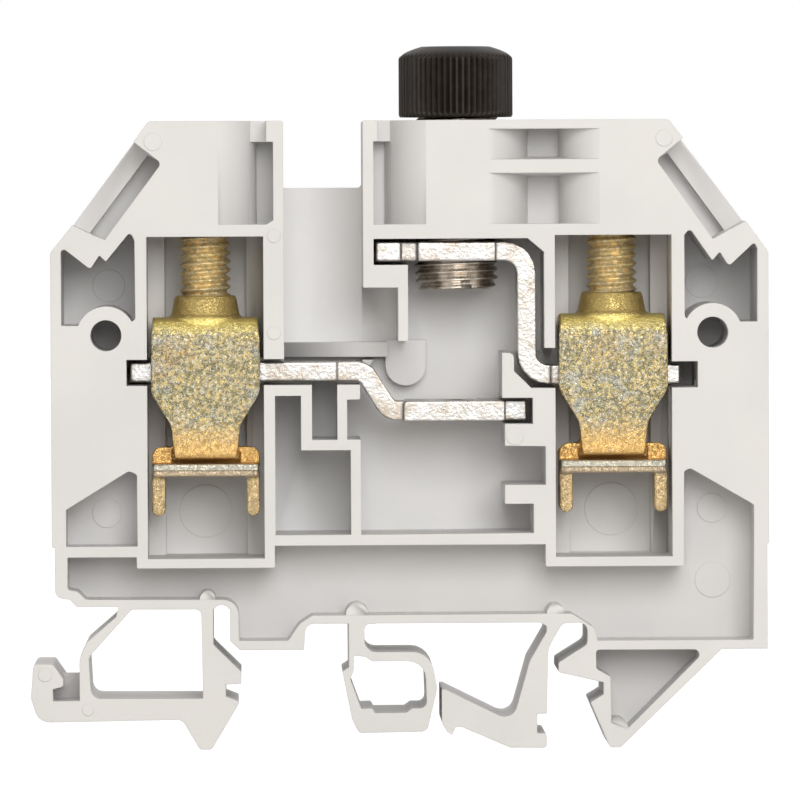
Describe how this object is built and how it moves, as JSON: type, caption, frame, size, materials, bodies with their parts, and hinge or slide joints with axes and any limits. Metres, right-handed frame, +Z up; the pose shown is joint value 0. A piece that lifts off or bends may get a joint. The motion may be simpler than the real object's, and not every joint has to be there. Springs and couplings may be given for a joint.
{
  "type": "fuse terminal block",
  "caption": "Rail-mounted feed-through block with clamp screws and a screw-in cap that holds a cartridge fuse.",
  "frame": {"origin": "centre of the bounding box's lower face, under the rail feet", "axes": "+X across the rail from the hook foot to the wedge foot, +Y from the open side to the closed side, +Z up to the fuse cap"},
  "size_m": [0.0691, 0.012, 0.0657],
  "materials": {
    "housing": "warm light grey moulding, fine satin",
    "bar": "nickel-plated, slightly pebbled",
    "clamp": "yellow-chromated zinc, mottled",
    "knob": "black, ribbed",
    "sleeve": "nickel-plated thread",
    "spring": "bright wire"
  },
  "bodies": {
    "block": {"housing": "housing", "current_bar_left": "bar", "current_bar_right": "bar"},
    "screw_left": {"clamp_screw_left": "clamp"},
    "screw_right": {"clamp_screw_right": "clamp"},
    "yoke_left": {"clamp_yoke_left": "clamp"},
    "yoke_right": {"clamp_yoke_right": "clamp"},
    "cap_spring": {"fuse_cap_spring": "spring"},
    "fuse_cap": {"fuse_cap_knob": "knob", "fuse_cap_sleeve": "sleeve"}
  },
  "joints": [
    {"name": "screw_left_turn", "type": "hinge", "parent": "block", "child": "screw_left", "pos_m": [-0.01816, -0.0016, 0.0493], "axis": [0, 0, 1], "range_deg": [-2345, 1175]},
    {"name": "yoke_left_rise", "type": "slide", "parent": "block", "child": "yoke_left", "axis": [0, 0, 1], "range_m": [-0.00261, 0.00521]},
    {"name": "screw_right_turn", "type": "hinge", "parent": "block", "child": "screw_right", "pos_m": [0.01998, -0.0016, 0.0493], "axis": [0, 0, 1], "range_deg": [-2255, 1265]},
    {"name": "yoke_right_rise", "type": "slide", "parent": "block", "child": "yoke_right", "axis": [0, 0, 1], "range_m": [-0.00281, 0.00501]},
    {"name": "cap_lift", "type": "slide", "parent": "block", "child": "cap_spring", "axis": [0, 0, 1], "range_m": [0, 0.00441]},
    {"name": "cap_turn", "type": "hinge", "parent": "cap_spring", "child": "fuse_cap", "pos_m": [0.00546, -0.00025, 0.05903], "axis": [0, 0, 1], "range_deg": [0, 2117]}
  ],
  "couplings": [
    {"joint": "screw_left_turn", "follows": "yoke_left_rise", "rad_per_m": -7854},
    {"joint": "screw_right_turn", "follows": "yoke_right_rise", "rad_per_m": -7854},
    {"joint": "cap_turn", "follows": "cap_lift", "rad_per_m": 8377.6}
  ]
}
